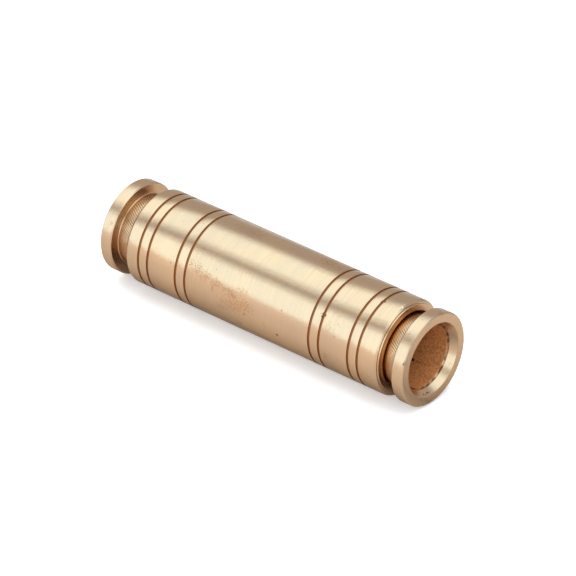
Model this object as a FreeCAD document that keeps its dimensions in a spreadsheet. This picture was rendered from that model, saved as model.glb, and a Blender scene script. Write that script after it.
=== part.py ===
"""Straight push fit coupling: one turned brass body that joins two tubes end to end.

The axis lies along X and the origin is the middle of the body.  Each end holds the same stack: a seal gland
with two O-rings, a thrust washer, a taper bush kept in by a circlip, and a release collet that slides and turns.
Every piece is drawn once, in its own frame with +X pointing out of the coupling, and placed at both ends.
"""
import FreeCAD, Part
import os
import re

import Sketcher

SHEET_NAME = "Dimensions"

# Driving dimensions in millimetres (angles in degrees): alias, value.
DIMENSIONS = (
    # body, measured from its middle
    ("body_radius", 7.5),
    ("body_half_length", 24.1),
    ("end_chamfer_length", 0.35),
    ("end_chamfer_depth", 0.35),
    ("end_step_depth", 0.2),
    ("lip_height", 0.2),
    ("lip_break", 0.08),
    ("stop_half_length", 1.5),
    ("stop_bore_radius", 3.6),
    ("tube_bore_radius", 4.85),
    ("gland_start", 8.6),
    ("gland_radius", 6.25),
    ("chamber_start", 14.1),
    ("chamber_radius", 6.5),
    ("mouth_lip_length", 0.6),
    ("mouth_lip_radius", 5.9),
    # turned marking lines round the body, in pairs about a middle that lies a little to the left of the body's own
    ("line_shift", 0.4),
    ("line_width", 0.3),
    ("line_depth", 0.24),
    ("line_one_start", 11.72),
    ("line_two_start", 13.57),
    ("line_three_start", 19.01),
    ("line_four_start", 20.78),
    # seals and the rings beside them
    ("ring_gap", 0.02),
    ("ring_inner_radius", 4.95),
    ("ring_outer_radius", 6.2),
    ("backup_ring_width", 0.96),
    ("spacer_ring_width", 1.2),
    ("o_ring_radius", 5.43),
    ("o_ring_section_radius", 0.8),
    ("washer_start", 14.12),
    ("washer_width", 0.8),
    ("washer_outer_radius", 6.45),
    # taper bush
    ("bush_start", 14.94),
    ("bush_length", 7.66),
    ("bush_outer_radius", 6.45),
    ("bush_cylinder_radius", 6.1),
    ("bush_cylinder_length", 3.06),
    ("bush_cone_length", 1.9),
    ("bush_throat_radius", 5.6),
    ("bush_break", 0.15),
    # retaining circlip and its groove
    ("clip_groove_start", 22.62),
    ("clip_groove_width", 0.76),
    ("clip_groove_radius", 6.85),
    ("clip_start", 22.65),
    ("clip_width", 0.7),
    ("clip_inner_radius", 5.95),
    ("clip_outer_radius", 6.8),
    ("clip_arc", 325.0),
    ("clip_turn", 95.0),
    # release collet, measured outwards from its finger tips
    ("collet_start", 17.85),
    ("right_collet_pressed", 0.3),
    ("stem_radius", 5.53),
    ("stem_length", 9.1),
    ("spigot_radius", 5.28),
    ("spigot_length", 1.0),
    ("head_radius", 6.0),
    ("head_break", 0.3),
    ("head_land", 0.05),
    ("head_cone_length", 1.9),
    ("grip_seat_start", 0.4),
    ("grip_seat_width", 0.9),
    ("grip_seat_radius", 5.36),
    ("slit_length", 5.5),
    ("slit_half_width", 0.2),
    ("slit_count", 6.0),
    ("slit_turn", -55.0),
    # toothed grip ring
    ("grip_gap", 0.05),
    ("grip_width", 0.8),
    ("grip_inner_radius", 4.62),
    ("grip_root_radius", 5.0),
    ("grip_outer_radius", 5.3),
    ("tooth_count", 12.0),
    ("tooth_gap_half_width", 0.62),
    # release flange pressed over the stem's outer end
    ("hub_length", 0.25),
    ("hub_radius", 5.65),
    ("hub_bore_radius", 5.55),
    ("hub_fillet", 0.15),
    ("flange_radius", 7.34),
    ("flange_width", 2.1),
    ("flange_chamfer", 0.22),
    ("socket_radius", 5.3),
    ("socket_depth", 1.02),
    ("mouth_radius", 5.1),
    ("mouth_chamfer", 0.7),
)
SIZES = dict(DIMENSIONS)
LINE_STARTS = ("line_one_start", "line_two_start", "line_three_start", "line_four_start")
CUTTER_MARGIN = 1.0      # how far a cutting outline reaches past the surface it cuts
EDGE_TOLERANCE = 1e-4

RIGHT, LEFT = "right", "left"

doc = FreeCAD.newDocument("push_fit_coupling")


def make_sheet():
    """Spreadsheet with one aliased cell for each driving dimension."""
    sheet = doc.addObject("Spreadsheet::Sheet", SHEET_NAME)
    for row, (alias, value) in enumerate(DIMENSIONS, start=1):
        sheet.set(f"A{row}", alias)
        sheet.set(f"B{row}", str(value))
        sheet.setAlias(f"B{row}", alias)
    doc.recompute()
    return sheet


def bound(sum_text):
    """Expression that reads a sum of aliases, such as "stem_length + spigot_length", from the sheet."""
    return re.sub(r"[a-z][a-z_]+", lambda match: f"{SHEET_NAME}.{match.group(0)}", sum_text)


def value_of(sum_text):
    """Number that a sum or difference of aliases and plain numbers comes to."""
    total = 0.0
    sign = 1.0
    for token in sum_text.split():
        if token in "+-":
            sign = 1.0 if token == "+" else -1.0
        else:
            total += sign * (SIZES[token] if token in SIZES else float(token))
            sign = 1.0
    return total


def new_body(label):
    """Empty PartDesign body with its own label."""
    body = doc.addObject("PartDesign::Body", label)
    body.Label = label
    return body


def origin_feature(body, role):
    """Origin plane or axis of a body, such as XY_Plane or X_Axis."""
    return next(item for item in body.Origin.OriginFeatures if item.Role == role)


def sketch_outlines(body, name, outlines, plane="XY_Plane"):
    """Sketch of closed outlines whose corners are (along, out) pairs of alias sums, each bound to the sheet."""
    sketch = body.newObject("Sketcher::SketchObject", name)
    sketch.AttachmentSupport = (origin_feature(body, plane), [""])
    sketch.MapMode = "FlatFace"
    for corners in outlines:
        points = [FreeCAD.Vector(value_of(along), value_of(out), 0) for along, out in corners]
        first = sketch.GeometryCount
        for index, point in enumerate(points):
            following = points[(index + 1) % len(points)]
            sketch.addGeometry(Part.LineSegment(point, following), False)
        for index, texts in enumerate(corners):
            line = first + index
            before = first + (index - 1) % len(corners)
            sketch.addConstraint(Sketcher.Constraint("Coincident", before, 2, line, 1))
            for kind, axis, text in (("DistanceX", -2, texts[0]), ("DistanceY", -1, texts[1])):
                if abs(value_of(text)) < EDGE_TOLERANCE:
                    sketch.addConstraint(Sketcher.Constraint("PointOnObject", line, 1, axis))
                    continue
                number = sketch.addConstraint(
                    Sketcher.Constraint(kind, -1, 1, line, 1, value_of(text)))
                sketch.setExpression(f"Constraints[{number}]", bound(text))
    return sketch


def turn(body, name, outlines, angle_alias=None):
    """Material turned round the body's X axis."""
    sketch = sketch_outlines(body, name + "_outline", outlines)
    feature = body.newObject("PartDesign::Revolution", name)
    feature.Profile = sketch
    feature.ReferenceAxis = (sketch, ["H_Axis"])
    feature.Angle = 360.0
    if angle_alias:
        feature.setExpression("Angle", bound(angle_alias))
    doc.recompute()
    return feature


def turn_away(body, name, outlines):
    """Grooves turned out of the body round its X axis."""
    before = body.Shape.Volume
    sketch = sketch_outlines(body, name + "_outline", outlines)
    feature = body.newObject("PartDesign::Groove", name)
    feature.Profile = sketch
    feature.ReferenceAxis = (sketch, ["H_Axis"])
    feature.Angle = 360.0
    doc.recompute()
    require_less(body, before, name)
    return feature


def cut_pattern(body, name, outline, plane, count_alias, depth=None):
    """Pocket repeated round the X axis.  It goes through all, or to a depth given in alias sums."""
    before = body.Shape.Volume
    sketch = sketch_outlines(body, name + "_outline", [outline], plane)
    pocket = body.newObject("PartDesign::Pocket", name)
    pocket.Profile = sketch
    if depth is None:
        pocket.Type = "ThroughAll"
        pocket.Midplane = True
    else:
        pocket.Type = "Length"
        pocket.setExpression("Length", bound(depth))
    doc.recompute()
    require_less(body, before, name)
    pattern = body.newObject("PartDesign::PolarPattern", name + "_ring")
    pattern.Originals = [pocket]
    pattern.Axis = (origin_feature(body, "X_Axis"), [""])
    pattern.Angle = 360.0
    pattern.setExpression("Occurrences", bound(count_alias))
    body.Tip = pattern
    doc.recompute()
    return pattern


def require_less(body, before, name):
    """Stop if a cut took nothing away."""
    if not body.Shape.Volume < before:
        raise RuntimeError(f"{name} cuts nothing from {body.Label}")


def round_edges(body, base, along, out):
    """Names of the base feature's circular edges at a distance along the axis and a radius."""
    names = []
    for number, edge in enumerate(base.Shape.Edges, start=1):
        if not isinstance(edge.Curve, Part.Circle):
            continue
        same_place = abs(edge.Curve.Center.x - value_of(along)) < EDGE_TOLERANCE
        same_radius = abs(edge.Curve.Radius - value_of(out)) < EDGE_TOLERANCE
        if same_place and same_radius:
            names.append(f"Edge{number}")
    if not names:
        raise RuntimeError(f"no edge at {along}, {out} of {body.Label}")
    return names


def ease_edges(body, kind, places, size_alias):
    """Fillet or chamfer on the circular edges at the given places of the body's tip."""
    base = body.Tip
    edges = [name for along, out in places for name in round_edges(body, base, along, out)]
    feature = body.newObject(f"PartDesign::{kind}", kind.lower())
    feature.Base = (base, edges)
    feature.setExpression("Radius" if kind == "Fillet" else "Size", bound(size_alias))
    doc.recompute()
    return feature


def place(piece, side, start, turned=0.0):
    """Put a piece at one end, with its own +X pointing out of the coupling."""
    roll = FreeCAD.Rotation(FreeCAD.Vector(1, 0, 0), turned)
    facing = FreeCAD.Rotation(FreeCAD.Vector(0, 0, 1), 0 if side == RIGHT else 180)
    piece.Placement = FreeCAD.Placement(FreeCAD.Vector(0, 0, 0), facing.multiply(roll))
    expression = bound(start)
    piece.setExpression("Placement.Base.x", expression if side == RIGHT else f"-({expression})")


def plain_ring(label, width, inner, outer):
    """Flat ring of rectangular section, starting at x = 0."""
    body = new_body(label)
    turn(body, "ring", [(("0", inner), (width, inner), (width, outer), ("0", outer))])
    return body


def make_coupling_body():
    """Outer body: one half is turned with its bores, mirrored about the middle, and marked with its lines."""
    body = new_body("coupling_body")
    shoulder = "body_half_length - lip_height"
    chamfer_out = "body_radius - end_chamfer_depth"
    step_out = "body_radius - end_chamfer_depth - end_step_depth"
    blank = turn(body, "half_blank", [(
        ("0", "stop_bore_radius"),
        ("stop_half_length", "stop_bore_radius"),
        ("stop_half_length", "tube_bore_radius"),
        ("gland_start", "tube_bore_radius"),
        ("gland_start", "gland_radius"),
        ("chamber_start", "gland_radius"),
        ("chamber_start", "chamber_radius"),
        ("body_half_length - mouth_lip_length", "chamber_radius"),
        ("body_half_length - mouth_lip_length", "mouth_lip_radius"),
        ("body_half_length - lip_break", "mouth_lip_radius"),
        ("body_half_length", "mouth_lip_radius + lip_break"),
        ("body_half_length", step_out + " - lip_break"),
        ("body_half_length - lip_break", step_out),
        (shoulder, step_out),
        (shoulder, chamfer_out),
        (shoulder + " - end_chamfer_length", "body_radius"),
        ("0", "body_radius"),
    )])
    clip_end = "clip_groove_start + clip_groove_width"
    clip_inside = f"chamber_radius - {CUTTER_MARGIN}"
    clip_groove = turn_away(body, "clip_groove", [(
        ("clip_groove_start", clip_inside), (clip_end, clip_inside),
        (clip_end, "clip_groove_radius"), ("clip_groove_start", "clip_groove_radius"),
    )])
    mirrored = body.newObject("PartDesign::Mirrored", "both_halves")
    mirrored.Originals = [blank, clip_groove]
    mirrored.MirrorPlane = (origin_feature(body, "YZ_Plane"), [""])
    body.Tip = mirrored
    doc.recompute()
    turn_away(body, "marking_lines", line_outlines())
    return body


def line_outlines():
    """Section of every marking line: four on the right of the lines' middle and four on its left."""
    outlines = []
    floor, outside = "body_radius - line_depth", f"body_radius + {CUTTER_MARGIN}"
    for start in LINE_STARTS:
        right = f"{start} - line_shift"
        left = f"0 - {start} - line_shift - line_width"
        for begin in (right, left):
            end = begin + " + line_width"
            outlines.append(((begin, floor), (end, floor), (end, outside), (begin, outside)))
    return outlines


def make_o_ring(label):
    """Rubber ring of round section, its axis along X once placed."""
    ring = doc.addObject("Part::Torus", label)
    ring.Label = label
    ring.setExpression("Radius1", bound("o_ring_radius"))
    ring.setExpression("Radius2", bound("o_ring_section_radius"))
    return ring


def place_o_ring(ring, side, middle):
    """Put an O-ring round the axis with its section's centre at a distance from the middle of the coupling."""
    ring.Placement = FreeCAD.Placement(FreeCAD.Vector(0, 0, 0), FreeCAD.Rotation(FreeCAD.Vector(0, 1, 0), 90))
    expression = bound(middle)
    ring.setExpression("Placement.Base.x", expression if side == RIGHT else f"-({expression})")


def make_taper_bush(label):
    """Bush whose cone closes the collet's fingers on the tube as the collet is drawn outwards."""
    body = new_body(label)
    cone_end = "bush_cylinder_length + bush_cone_length"
    turn(body, "bush", [(
        ("0", "bush_cylinder_radius"),
        ("bush_cylinder_length", "bush_cylinder_radius"),
        (cone_end, "bush_throat_radius"),
        ("bush_length - bush_break", "bush_throat_radius"),
        ("bush_length", "bush_throat_radius + bush_break"),
        ("bush_length", "bush_outer_radius - bush_break"),
        ("bush_length - bush_break", "bush_outer_radius"),
        ("0", "bush_outer_radius"),
    )])
    return body


def make_circlip(label):
    """Open spring ring that keeps the bush in."""
    body = new_body(label)
    turn(body, "open_ring", [(
        ("0", "clip_inner_radius"), ("clip_width", "clip_inner_radius"),
        ("clip_width", "clip_outer_radius"), ("0", "clip_outer_radius"),
    )], "clip_arc")
    return body


def make_grip_ring(label):
    """Hardened ring with inward teeth that bite the tube."""
    body = new_body(label)
    turn(body, "ring", [(
        ("grip_gap", "grip_inner_radius + grip_gap"),
        ("grip_width - grip_gap", "grip_inner_radius"),
        ("grip_width", "grip_inner_radius + grip_gap"),
        ("grip_width", "grip_outer_radius"),
        ("0", "grip_outer_radius"),
        ("0", "grip_root_radius"),
    )])
    # a triangular gap between two teeth, with its point at the root
    cut_pattern(body, "tooth_gap", (
        ("0", "grip_root_radius"),
        ("tooth_gap_half_width", "grip_inner_radius - grip_gap"),
        ("0 - tooth_gap_half_width", "grip_inner_radius - grip_gap"),
    ), "YZ_Plane", "tooth_count")
    return body


def make_collet_sleeve(label):
    """Sleeve with slit, flared fingers at its inner end and a spigot for the flange at its outer end."""
    body = new_body(label)
    seat_end = "grip_seat_start + grip_seat_width"
    head_start = "head_break + head_land"
    turn(body, "sleeve", [(
        ("0", "tube_bore_radius"),
        ("grip_seat_start", "tube_bore_radius"),
        ("grip_seat_start", "grip_seat_radius"),
        (seat_end, "grip_seat_radius"),
        (seat_end, "tube_bore_radius"),
        ("stem_length + spigot_length", "tube_bore_radius"),
        ("stem_length + spigot_length", "spigot_radius"),
        ("stem_length", "spigot_radius"),
        ("stem_length", "stem_radius"),
        (head_start + " + head_cone_length", "stem_radius"),
        (head_start, "head_radius"),
        ("head_break", "head_radius"),
        ("0", "head_radius - head_break"),
    )])
    slit_start = f"0 - {CUTTER_MARGIN}"
    cut_pattern(body, "slit", (
        (slit_start, "0 - slit_half_width"),
        ("slit_length", "0 - slit_half_width"),
        ("slit_length", "slit_half_width"),
        (slit_start, "slit_half_width"),
    ), "XZ_Plane", "slit_count", f"body_radius + {CUTTER_MARGIN}")
    return body


def make_release_flange(label):
    """Ring that the user pushes, with a small filleted hub on its inner side and a chamfered mouth."""
    body = new_body(label)
    front = "hub_length + flange_width"
    turn(body, "flange", [(
        ("0", "hub_bore_radius"),
        ("hub_length", "hub_bore_radius"),
        ("hub_length", "socket_radius"),
        ("hub_length + socket_depth", "socket_radius"),
        ("hub_length + socket_depth", "mouth_radius"),
        (front + " - mouth_chamfer", "mouth_radius"),
        (front, "mouth_radius + mouth_chamfer"),
        (front, "flange_radius"),
        ("hub_length", "flange_radius"),
        ("hub_length", "hub_radius"),
        ("0", "hub_radius"),
    )])
    ease_edges(body, "Fillet", [("hub_length", "hub_radius")], "hub_fillet")
    ease_edges(body, "Chamfer", [("hub_length", "flange_radius"), (front, "flange_radius")], "flange_chamfer")
    return body


def make_end(side):
    """All the pieces of one end, placed."""
    pieces = []
    gap = "ring_gap"
    start = f"gland_start + {gap}"
    backup = plain_ring(f"{side}_inner_backup_ring", "backup_ring_width", "ring_inner_radius", "ring_outer_radius")
    place(backup, side, start)
    start += f" + backup_ring_width + {gap}"
    inner_seal = make_o_ring(f"{side}_inner_o_ring")
    place_o_ring(inner_seal, side, start + " + o_ring_section_radius")
    start += f" + o_ring_section_radius + o_ring_section_radius + {gap}"
    spacer = plain_ring(f"{side}_spacer_ring", "spacer_ring_width", "ring_inner_radius", "ring_outer_radius")
    place(spacer, side, start)
    start += f" + spacer_ring_width + {gap}"
    outer_seal = make_o_ring(f"{side}_outer_o_ring")
    place_o_ring(outer_seal, side, start + " + o_ring_section_radius")
    washer = plain_ring(f"{side}_thrust_washer", "washer_width", "ring_inner_radius", "washer_outer_radius")
    place(washer, side, "washer_start")
    bush = make_taper_bush(f"{side}_taper_bush")
    place(bush, side, "bush_start")
    circlip = make_circlip(f"{side}_retaining_circlip")
    place(circlip, side, "clip_start", SIZES["clip_turn"])
    pieces += [backup, inner_seal, spacer, outer_seal, washer, bush, circlip]

    # the right collet rests a little pressed in
    collet_start = "collet_start" if side == LEFT else "collet_start - right_collet_pressed"
    grip = make_grip_ring(f"{side}_grip_ring")
    place(grip, side, f"{collet_start} + grip_seat_start + grip_gap")
    sleeve = make_collet_sleeve(f"{side}_collet_sleeve")
    place(sleeve, side, collet_start, SIZES["slit_turn"])
    flange = make_release_flange(f"{side}_release_flange")
    place(flange, side, f"{collet_start} + stem_length - hub_length")
    return pieces + [grip, sleeve, flange]


def check_document():
    """Stop if any object of the document failed."""
    for item in doc.Objects:
        if "Invalid" in item.State or "Error" in item.State:
            raise RuntimeError(f"{item.Label} is {item.State}")


def check_piece(piece):
    """Stop unless a piece's shape is valid and has one solid."""
    shape = piece.Shape
    if shape.isNull() or not shape.isValid() or len(shape.Solids) != 1:
        raise RuntimeError(f"{piece.Label} has no valid single solid")
    if piece.isDerivedFrom("PartDesign::Body"):
        for item in piece.Group:
            if item.isDerivedFrom("Sketcher::SketchObject") and item.solve() != 0:
                raise RuntimeError(f"{item.Name} of {piece.Label} doesn't solve")


make_sheet()
all_pieces = [make_coupling_body()] + make_end(LEFT) + make_end(RIGHT)
doc.recompute()
check_document()
os.makedirs("parts", exist_ok=True)
for piece in all_pieces:
    check_piece(piece)
for piece in all_pieces:
    piece.Shape.exportStep(f"parts/{piece.Label}.step")
    box = piece.Shape.BoundBox
    print(f"{piece.Label:28s} x {box.XMin:8.3f} {box.XMax:8.3f}  r {box.YMax:6.3f}  volume {piece.Shape.Volume:9.3f}")
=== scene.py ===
"""Looks of a straight brass push fit coupling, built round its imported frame.

The coupling lies along X.  Each end holds a release collet (a knurled, slit sleeve with a flange pressed on it)
that slides and turns in the body.  The outer pieces are turned again here with eased edges, a fine knurl and
saw cut slits, and every piece gets a finish that is worked out from its place on the object.
"""
import logging
import math
from dataclasses import dataclass, field
from enum import Enum

import bmesh
import bpy
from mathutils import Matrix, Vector


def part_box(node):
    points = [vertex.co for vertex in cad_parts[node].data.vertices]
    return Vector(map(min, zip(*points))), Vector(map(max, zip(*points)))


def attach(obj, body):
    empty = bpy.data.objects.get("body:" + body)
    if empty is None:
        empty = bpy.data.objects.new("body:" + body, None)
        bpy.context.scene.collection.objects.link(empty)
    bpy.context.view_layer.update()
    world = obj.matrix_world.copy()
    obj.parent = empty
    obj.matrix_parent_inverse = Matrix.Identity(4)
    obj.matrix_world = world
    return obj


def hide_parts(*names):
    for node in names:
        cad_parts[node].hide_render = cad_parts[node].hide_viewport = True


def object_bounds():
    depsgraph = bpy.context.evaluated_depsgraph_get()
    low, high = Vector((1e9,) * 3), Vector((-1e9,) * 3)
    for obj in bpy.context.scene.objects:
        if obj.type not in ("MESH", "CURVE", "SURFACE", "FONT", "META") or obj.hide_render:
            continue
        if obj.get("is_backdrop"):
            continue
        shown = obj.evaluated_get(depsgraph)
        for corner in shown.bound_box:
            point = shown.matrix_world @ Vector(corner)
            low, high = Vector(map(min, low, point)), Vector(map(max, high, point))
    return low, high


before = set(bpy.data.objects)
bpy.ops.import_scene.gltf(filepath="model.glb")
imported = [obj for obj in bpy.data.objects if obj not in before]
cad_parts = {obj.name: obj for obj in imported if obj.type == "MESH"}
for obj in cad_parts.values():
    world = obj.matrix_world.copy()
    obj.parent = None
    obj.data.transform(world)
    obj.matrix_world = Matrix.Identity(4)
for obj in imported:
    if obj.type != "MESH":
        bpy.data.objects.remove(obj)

MM = 0.001
WELD = 0.0002 * MM      # points closer than this are one point
RELIEF = 0.02 * MM      # height that a full bump stands for
FULL_TURN = 2 * math.pi
Colour = tuple[float, float, float, float]
Socket = bpy.types.NodeSocket
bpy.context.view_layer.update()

logging.basicConfig(level=logging.INFO, format="%(name)s: %(message)s")
log = logging.getLogger("coupling")


class Side(Enum):
    """Which end of the coupling a piece belongs to, and the way along X that end points."""

    LEFT = -1
    RIGHT = 1

    @property
    def label(self) -> str:
        """Word that starts the names of this end's nodes."""
        return self.name.lower()


# ---------------------------------------------------------------- shaping


@dataclass(frozen=True)
class Corner:
    """One corner of a turned outline, in millimetres.

    Args:
        along: distance out of the coupling along its axis, from the piece's own datum.
        out: radius at the corner.
        ease: radius of the rounding that the corner is given.
    """

    along: float
    out: float
    ease: float = 0.0


def eased_points(corners: list[Corner]) -> list[tuple[float, float]]:
    """Round the corners of a closed outline.

    Args:
        corners: the outline's corners, in order.

    Returns:
        The outline's points as (along, out) pairs, in millimetres.
    """
    points: list[tuple[float, float]] = []
    for index, corner in enumerate(corners):
        here = Vector((corner.along, corner.out))
        before = corners[index - 1]
        after = corners[(index + 1) % len(corners)]
        back = Vector((before.along, before.out)) - here
        ahead = Vector((after.along, after.out)) - here
        bend = back.angle(ahead)
        if corner.ease <= 0 or bend > math.radians(179):
            points.append((here.x, here.y))
            continue
        reach = min(corner.ease / math.tan(bend / 2), 0.49 * back.length, 0.49 * ahead.length)
        start, end = here + back.normalized() * reach, here + ahead.normalized() * reach
        steps = 3 if reach < 0.3 else 10
        pull = math.sin(bend / 2)
        for step in range(steps + 1):
            share = step / steps
            first, middle, last = (1 - share) ** 2, 2 * pull * share * (1 - share), share**2
            point = (start * first + here * middle + end * last) / (first + middle + last)
            points.append((point.x, point.y))
    return points


def only(obj: bpy.types.Object) -> None:
    """Make one object active and the only one selected.

    Args:
        obj: the object to select.
    """
    bpy.ops.object.select_all(action="DESELECT")
    obj.select_set(True)
    bpy.context.view_layer.objects.active = obj


def turned(name: str, points: list[tuple[float, float]], columns: int, datum: float, side: Side,
           ) -> bpy.types.Object:
    """Turn a closed outline round the X axis.

    Args:
        name: name of the new object.
        points: the closed outline as (along, out) pairs, in millimetres.
        columns: number of columns round the axis.
        datum: where the outline's zero lies, in millimetres out of the coupling's middle.
        side: the end that the outline points out of.

    Returns:
        The closed mesh object, at the origin, with its place in its mesh.
    """
    places = [Vector((side.value * (datum + along) * MM, out * MM, 0)) for along, out in points]
    bpy.ops.object.select_all(action="DESELECT")
    bpy.ops.mesh.primitive_plane_add(size=MM, location=places[0])
    obj = bpy.context.object
    obj.name = obj.data.name = name
    bpy.ops.object.transform_apply(location=True, rotation=True, scale=True)
    bpy.ops.object.mode_set(mode="EDIT")
    bpy.ops.mesh.select_all(action="SELECT")
    bpy.ops.mesh.merge(type="CENTER")
    for here, there in zip(places, places[1:] + places[:1]):
        bpy.ops.mesh.extrude_vertices_move(TRANSFORM_OT_translate={"value": tuple(there - here)})
    bpy.ops.mesh.select_all(action="SELECT")
    bpy.ops.mesh.remove_doubles(threshold=WELD)
    bpy.ops.mesh.spin(steps=columns, angle=FULL_TURN, center=(0, 0, 0), axis=(1, 0, 0))
    bpy.ops.mesh.select_all(action="SELECT")
    bpy.ops.mesh.remove_doubles(threshold=WELD)
    bpy.ops.mesh.normals_make_consistent(inside=False)
    bpy.ops.object.mode_set(mode="OBJECT")
    return obj


def smooth(obj: bpy.types.Object, angle: float = 32.0) -> None:
    """Shade an object smooth, with edges sharper than an angle kept.

    Args:
        obj: the object to shade.
        angle: the sharpest smooth edge, in degrees.
    """
    only(obj)
    bpy.ops.object.shade_smooth_by_angle(angle=math.radians(angle))


# ---------------------------------------------------------------- finishes


class Graph:
    """Short hand for building a node tree.

    Args:
        tree: the node tree that nodes are added to.
    """

    def __init__(self, tree: bpy.types.NodeTree) -> None:
        """Keep the tree."""
        self.tree = tree

    def add(self, kind: str, settings: dict | None = None, **inputs: object) -> bpy.types.Node:
        """Add a node.

        Args:
            kind: the node's type, such as ShaderNodeMath.
            settings: the node's own properties.
            inputs: input values or sockets to link, by input name with _ for a space.

        Returns:
            The new node.
        """
        node = self.tree.nodes.new(kind)
        for name, value in (settings or {}).items():
            setattr(node, name, value)
        for name, value in inputs.items():
            key = int(name[1:]) if name[0] == "i" and name[1:].isdigit() else name.replace("_", " ")
            self.feed(node.inputs[key], value)
        return node

    def feed(self, socket: bpy.types.NodeSocket, value: object) -> None:
        """Link a socket to another socket, or set its value.

        Args:
            socket: the input to feed.
            value: an output socket, a number, a vector or a colour.
        """
        if isinstance(value, Socket):
            self.tree.links.new(value, socket)
        else:
            socket.default_value = value

    def math(self, operation: str, *values: object) -> Socket:
        """Add a Math node.

        Args:
            operation: the node's operation.
            values: its inputs, in order.

        Returns:
            The node's output.
        """
        node = self.add("ShaderNodeMath", {"operation": operation})
        for socket, value in zip(node.inputs, values):
            self.feed(socket, value)
        return node.outputs[0]

    def span(self, value: object, low: float, high: float, to_low: float = 0.0, to_high: float = 1.0,
             ) -> Socket:
        """Map a value smoothly from one range onto another.

        Args:
            value: the socket to map.
            low: value that gives to_low.
            high: value that gives to_high.
            to_low: result at low.
            to_high: result at high.

        Returns:
            The mapped value.
        """
        node = self.add("ShaderNodeMapRange", {"interpolation_type": "SMOOTHSTEP"}, Value=value,
                        From_Min=low, From_Max=high, To_Min=to_low, To_Max=to_high)
        return node.outputs[0]

    def tint(self, factor: object, colour: object, other: object) -> Socket:
        """Mix two colours.

        Args:
            factor: share of the second colour.
            colour: the first colour.
            other: the second colour.

        Returns:
            The mixed colour.
        """
        node = self.add("ShaderNodeMix", {"data_type": "RGBA"})
        self.feed(node.inputs[0], factor)
        self.feed(node.inputs[6], colour)
        self.feed(node.inputs[7], other)
        return node.outputs[2]

    def fade(self, mask: object, share: float, colour: object, other: object) -> Socket:
        """Mix two colours by part of a mask.

        Args:
            mask: where the second colour lies.
            share: share of the second colour where the mask is 1.
            colour: the first colour.
            other: the second colour.

        Returns:
            The mixed colour.
        """
        return self.tint(self.math("MULTIPLY", mask, share), colour, other)

    def noise(self, vector: object, scale: float, detail: float = 2.0, roughness: float = 0.5,
              ) -> Socket:
        """Add a three dimensional noise.

        Args:
            vector: coordinates, in millimetres.
            scale: features per millimetre.
            detail: number of finer layers.
            roughness: strength of the finer layers.

        Returns:
            The noise value, about 0.5 on average.
        """
        node = self.add("ShaderNodeTexNoise", {"noise_dimensions": "3D"}, Vector=vector, Scale=scale,
                        Detail=detail, Roughness=roughness)
        return node.outputs[0]


def scaled(colour: tuple[float, ...], *shares: float) -> Colour:
    """Brighten or darken a colour.

    Args:
        colour: the colour to change.
        shares: one factor for all three channels, or one for each.

    Returns:
        The changed colour, opaque.
    """
    red, green, blue = (part * share for part, share in zip(colour, shares * 3 if len(shares) == 1 else shares))
    return red, green, blue, 1.0


def new_group(name: str, inputs: dict[str, tuple[str, object]], outputs: tuple[str, ...],
              ) -> tuple[Graph, bpy.types.Node, bpy.types.Node]:
    """Make an empty shader node group.

    Args:
        name: the group's name.
        inputs: input name to socket kind and default value.
        outputs: names of the outputs, which are all values.

    Returns:
        The group's graph, its input node and its output node.
    """
    tree = bpy.data.node_groups.new(name, "ShaderNodeTree")
    for label, (kind, default) in inputs.items():
        socket = tree.interface.new_socket(label, in_out="INPUT", socket_type=f"NodeSocket{kind}")
        if default is not None:
            socket.default_value = default
    for label in outputs:
        tree.interface.new_socket(label, in_out="OUTPUT", socket_type="NodeSocketFloat")
    graph = Graph(tree)
    return graph, graph.add("NodeGroupInput"), graph.add("NodeGroupOutput")


def axial_group() -> bpy.types.NodeTree:
    """Group that gives a point's distance along the axis and its radius.

    Returns:
        The node group.
    """
    graph, given, made = new_group("place_on_turning", {"Vector": ("Vector", None)},
                                   ("Along", "Radius"))
    parts = graph.add("ShaderNodeSeparateXYZ", Vector=given.outputs["Vector"])
    across, up = parts.outputs["Y"], parts.outputs["Z"]
    square = graph.math("ADD", graph.math("MULTIPLY", across, across), graph.math("MULTIPLY", up, up))
    graph.feed(made.inputs["Along"], parts.outputs["X"])
    graph.feed(made.inputs["Radius"], graph.math("SQRT", square))
    return graph.tree


def turning_group(axial: bpy.types.NodeTree) -> bpy.types.NodeTree:
    """Group for the fine rings that a lathe tool leaves.

    Args:
        axial: the group that places a point on the turning.

    Returns:
        The node group.  Height is the tool's track and Streaks is a broader change of sheen.
    """
    graph, given, made = new_group(
        "turning_marks", {"Vector": ("Vector", None), "Fine": ("Float", 5.5), "Broad": ("Float", 2.6)},
        ("Height", "Streaks"))
    place = graph.add("ShaderNodeGroup", {"node_tree": axial}, Vector=given.outputs["Vector"])
    travel = graph.math("ADD", place.outputs["Along"], place.outputs["Radius"])
    parts = graph.add("ShaderNodeSeparateXYZ", Vector=given.outputs["Vector"])
    tracks = []
    for label, drift in (("Fine", 0.22), ("Broad", 0.08)):
        coordinates = graph.add(
            "ShaderNodeCombineXYZ",
            X=graph.math("MULTIPLY", travel, given.outputs[label]),
            Y=graph.math("MULTIPLY", parts.outputs["Y"], drift),
            Z=graph.math("MULTIPLY", parts.outputs["Z"], drift))
        tracks.append(graph.noise(coordinates.outputs[0], 1.0, 2.0, 0.6))
    graph.feed(made.inputs["Height"], tracks[0])
    graph.feed(made.inputs["Streaks"], tracks[1])
    return graph.tree


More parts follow.
